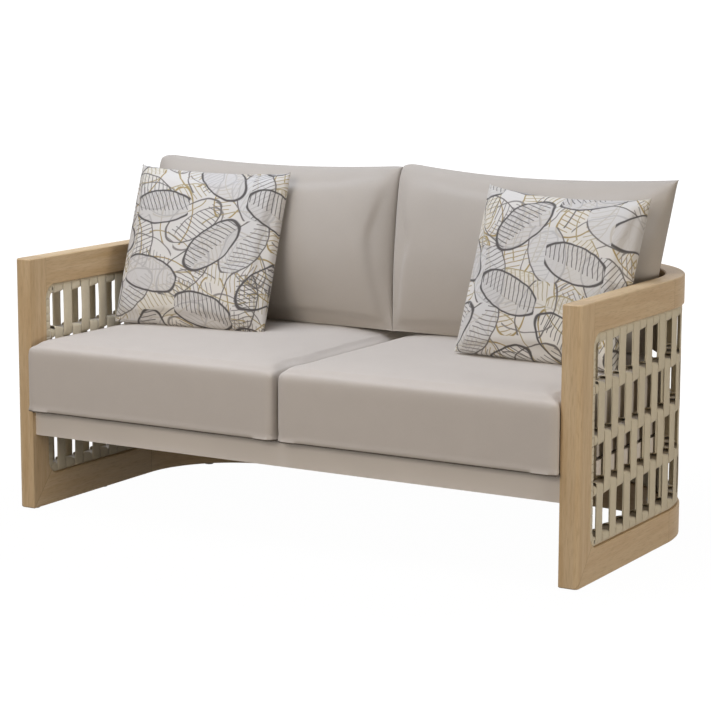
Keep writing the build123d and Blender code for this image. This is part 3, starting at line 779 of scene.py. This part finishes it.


# Painted shade: the back cushions' sand cloth is coloured darker than the seats' for the shade that
# falls on them
shaded_back_cloth = cloth_finish("plain woven acrylic, sand, back cushions", "#bab3aa", "uv")
back_low, back_high = (np.array(corner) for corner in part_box("right_back_cushion"))
seam_to_rear, foot_forward, inner_overlap = 0.150, 0.055, 0.007
width_low, width_high, width_mean = 0.725, 0.783, 0.74
foot_gap, least_gap, middle_gap, top_gap = 0.0005, 0.0003, 0.0004, 0.002
tall = back_high[2] - back_low[2] - top_gap
back_faces = ((0.080, 0.012, 0.140, 0.200, 0.240, 0.6, 0.8, 2.0),
              (0.148, 0.0, 0.156, 0.156, 0.034, 1.9, 1.3, 1.9))
for side, x, inner_round, inner_lift, outer_round in (("left", -1, 0.003, 0.0, 0.011),
                                                      ("right", 1, 0.009, 0.010, 0.0)):
    def back_place(u, v):
        """Outline of a back cushion: wider at the top, its outer side drawn in by a sine, a sagging
        top, and rounded top corners, apart from the right cushion's outer one, which is a point."""
        corner_share, top_share, lift_share, side_draw, sag = 0.05, 0.10, 0.5, 0.008, 0.017
        width = width_low + (width_high - width_low) * v
        near_inner = np.clip(1 - u / corner_share, 0, 1) ** 2
        near_outer = np.clip(1 - (1 - u) / corner_share, 0, 1) ** 2
        near_top = np.clip((v - (1 - top_share)) / top_share, 0, 1) ** 2
        inner_edge = inner_round * near_top
        outer_edge = width - side_draw * np.sin(math.pi * v) - outer_round * near_top
        lifted = inner_lift * np.clip(1 - u / lift_share, 0, 1) ** 2
        top = tall - sag * np.sin(math.pi * u) ** 0.8 + lifted
        top = top - inner_round * near_inner - outer_round * near_outer
        return inner_edge + (outer_edge - inner_edge) * u, top * v

    points, quads, uv = sewn_pair(back_place, back_faces, 84, 60, (width_mean, tall))
    points[:, 1] -= foot_forward * (1 - points[:, 2] / tall) ** 2
    points += np.array([0.0, back_high[1] - seam_to_rear, back_low[2] + foot_gap])
    points[:, 0] = x * (points[:, 0] - inner_overlap * (1 - points[:, 0] / width_high))
    made = add_piece(f"{side}_back_pad", points, quads, uv)
    points = relax(made, pressure=4.0, reach=0.006, sink=0.004, grown=0.001, rounds=24)

    # It neither sinks into the seat nor crosses the middle, where the other one stands
    points[:, 2] = np.maximum(points[:, 2], back_low[2] + least_gap)
    points[:, 0] = x * np.maximum(x * points[:, 0], middle_gap)
    set_points(made, points)
    soften(made)
    made.data.materials.append(shaded_back_cloth)
    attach(made, f"{side}_back")
    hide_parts(f"{side}_back_cushion")


# The throw pillows are square fibre pillows with a sewn edge, in off-white cloth printed with
# overlapping ovals in grey and ochre line, many of them hatched or tinted.
def printed_cloth(name, offset):
    """The print is five layers of ovals. In each, the cloth is cut into cells, every other column
    half a cell down. A cell has one oval of the layer's shape, with its own shift and turn. Its
    outline is where the stretched distance from its middle is near one. Hatching, a wave inside
    it, and a tint come by chance."""
    most_shift, most_turn, plain_share, wash_share = 0.018, 2.6, 0.25, 0.7
    hatch_step, hatch_slant, hatch_low, ink_full, ink_none = 0.0135, 0.45, -0.012, 0.43, 0.35
    made, tree = new_material(name)
    flat = add_node(tree, "UVMap", uv_map="cloth")
    place = add_node(tree, "VectorMath", (flat, offset), operation="ADD")
    hand = add_node(tree, "TexNoise", {"Vector": place, "Scale": 22, "Detail": 1}).outputs["Color"]
    wobble = add_node(tree, "VectorMath", {0: hand, "Scale": 0.010}, operation="SCALE")
    place = add_node(tree, "VectorMath", (place, wobble), operation="ADD")
    colour = linear("#d9d6d1")
    for number, (shift, cell, radii, turn, line, tint, ink, wash) in enumerate((
        ((0.031, 0.012), (0.150, 0.170), (0.092, 0.046), 0.5, 0.0017, 0.60, "#a08c5a", "#dcd7cd"),
        ((0.092, 0.101), (0.142, 0.160), (0.084, 0.042), 2.2, 0.0016, 0.60, "#86817c", "#d3d1ce"),
        ((0.051, 0.067), (0.160, 0.146), (0.094, 0.044), 4.1, 0.0014, 0.60, "#a89a74", "#dad5c9"),
        ((0.011, 0.127), (0.166, 0.150), (0.090, 0.050), 3.6, 0.0018, 0.45, "#6d6864", "#cfcecd"),
        ((0.120, 0.043), (0.170, 0.196), (0.094, 0.048), 5.1, 0.0023, 0.35, "#4f4b49", "#c8c5c2"),
    )):
        # Its cell, the cell's own three chances, and the place from the oval's middle
        moved = add_node(tree, "VectorMath", (place, (*shift, 0)), operation="ADD")
        grid = add_node(tree, "VectorMath", (moved, (*cell, 1)), operation="DIVIDE")
        column, row, _ = add_node(tree, "SeparateXYZ", (grid,)).outputs
        whole = add_node(tree, "Math", (column,), operation="FLOOR")
        odd = add_node(tree, "Math", (whole, 1.0), operation="PINGPONG")
        row = add_node(tree, "Math", (odd, 0.5, row), operation="MULTIPLY_ADD")
        grid = add_node(tree, "CombineXYZ", (column, row))
        whole = add_node(tree, "VectorMath", (grid,), operation="FLOOR")
        key = add_node(tree, "VectorMath", (whole, (0, 0, number * 3.7)), operation="ADD")
        chance = add_node(tree, "TexWhiteNoise", {"Vector": key}).outputs["Color"]
        chances = add_node(tree, "SeparateXYZ", (chance,)).outputs
        inner = add_node(tree, "VectorMath", (grid,), operation="FRACTION")
        inner = add_node(tree, "VectorMath", (inner, (0.5, 0.5, 0)), operation="SUBTRACT")
        inner = add_node(tree, "VectorMath", (inner, (*cell, 0)), operation="MULTIPLY")
        luck = add_node(tree, "VectorMath", (chance, (0.5, 0.5, 0)), operation="SUBTRACT")
        luck = add_node(tree, "VectorMath", (luck, (most_shift, most_shift, 0)), operation="MULTIPLY")
        near = add_node(tree, "VectorMath", (inner, luck), operation="SUBTRACT")
        angle = add_node(tree, "Math", (chances[2], most_turn, turn), operation="MULTIPLY_ADD")
        turned = add_node(tree, "VectorRotate", {"Vector": near, "Angle": angle},
                          rotation_type="Z_AXIS", invert=True)
        along, beside, _ = add_node(tree, "SeparateXYZ", (turned,)).outputs

        # The outline, what lies inside it, and the hatching, a triangle wave
        stretched = add_node(tree, "VectorMath", (turned, (*radii, 1)), operation="DIVIDE")
        reach = add_node(tree, "VectorMath", (stretched,), operation="LENGTH").outputs["Value"]
        off_line = add_node(tree, "Math", (reach, 1.0), operation="SUBTRACT")
        off_line = add_node(tree, "Math", (off_line,), operation="ABSOLUTE")
        off_line = add_node(tree, "Math", (off_line, radii[1]), operation="MULTIPLY")
        edge = add_node(tree, "MapRange", (off_line, line * 0.6, line * 1.4, 1.0, 0.0))
        inside = add_node(tree, "Math", (reach, 1.0), operation="LESS_THAN")
        upper = add_node(tree, "Math", (beside, hatch_low), operation="GREATER_THAN")
        chosen = add_node(tree, "Math", (chances[0], plain_share), operation="GREATER_THAN")
        slanted = add_node(tree, "Math", (beside, hatch_slant, along), operation="MULTIPLY_ADD")
        phase = add_node(tree, "Math", (slanted, hatch_step), operation="DIVIDE")
        stripe = add_node(tree, "Math", (phase, 0.5), operation="PINGPONG")
        drawn = add_node(tree, "MapRange", (stripe, ink_full, ink_none, 0.85, 0.0))
        for gate in (inside, upper, chosen):
            drawn = add_node(tree, "Math", (drawn, gate), operation="MULTIPLY")
        drawn = add_node(tree, "Math", (drawn, edge), operation="MAXIMUM")
        tinted = add_node(tree, "Math", (chances[1], tint), operation="GREATER_THAN")
        for share in (inside, wash_share):
            tinted = add_node(tree, "Math", (tinted, share), operation="MULTIPLY")
        for share, paint in ((tinted, wash), (drawn, ink)):
            laid = add_node(tree, "Mix", {0: share, 6: colour, 7: linear(paint)}, data_type="RGBA")
            colour = laid.outputs[2]
    warp, weft, _ = add_node(tree, "SeparateXYZ", (flat,)).outputs
    warp_wave, weft_wave = thread_wave(tree, warp, thread_step), thread_wave(tree, weft, thread_step)
    weave = add_node(tree, "Math", (warp_wave, weft_wave), operation="MULTIPLY")
    value = add_node(tree, "Math", (weave, 0.02, 1.0), operation="MULTIPLY_ADD")
    colour = add_node(tree, "HueSaturation", {"Color": colour, "Value": value})
    relief = add_node(tree, "Bump", {"Height": weave, "Strength": 0.2, "Distance": 0.0004})
    surface = add_node(tree, "BsdfPrincipled", {
        "Base Color": colour, "Roughness": 0.82, "Normal": relief, "Sheen Weight": 0.15})
    add_node(tree, "OutputMaterial", (surface,))
    return made


def turned_by(first, second, angle):
    """Two coordinates after a turn from the first axis towards the second."""
    cosine, sine = math.cos(angle), math.sin(angle)
    return first * cosine - second * sine, first * sine + second * cosine


pillow_side, pillow_lean = 0.448, math.radians(20.5)
pillow_faces = ((0.050, 0.008, 0.130, 0.130, 0.130, 0.8, 0.8, 0.8),) * 2
for side, turn, roll, draw, wide_by, tall_by, moved, offset in (
        ("left", 7.0, -0.9, 0.014, 0.010, 0.004, (0.006, 0.014, -0.006), (0.0, 0.0, 0.0)),
        ("right", 0.0, -1.8, 0.022, 0.006, -0.002, (0.009, -0.030, -0.006), (0.31, 0.17, 0.0))):
    def pillow_place(u, v):
        """A square whose sides are drawn in by a sine and whose corners are sharp, a little rolled."""
        draw_power, side_share = 0.6, 0.7
        wide = pillow_side + wide_by - side_share * draw * np.sin(math.pi * v) ** draw_power
        drawn = draw * np.sin(math.pi * u) ** draw_power * v
        across, up = (u - 0.5) * wide, (v - 0.5) * (pillow_side + tall_by) - drawn
        return turned_by(across, up, math.radians(roll))

    points, quads, uv = sewn_pair(pillow_place, pillow_faces, 64, 64, (pillow_side, pillow_side))
    made = add_piece(f"{side}_pillow", points, quads, uv)
    x, y, z = relax(made, pressure=4.0, reach=0.006, sink=0.005, grown=0.008).T
    y, z = turned_by(y, z, -pillow_lean)
    x, y = turned_by(x, y, math.radians(turn))
    low, high = (np.array(corner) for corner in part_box(f"{side}_throw_pillow"))
    middle = (low + high) / 2
    points = np.stack([x, y, z], 1) + (np.array([middle[0], middle[1], low[2] - z.min()]) + moved)
    set_points(made, points)
    soften(made)
    made.data.materials.append(printed_cloth(f"printed woven cotton, {side} pillow", offset))
    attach(made, f"{side}_pillow")
    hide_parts(f"{side}_throw_pillow")
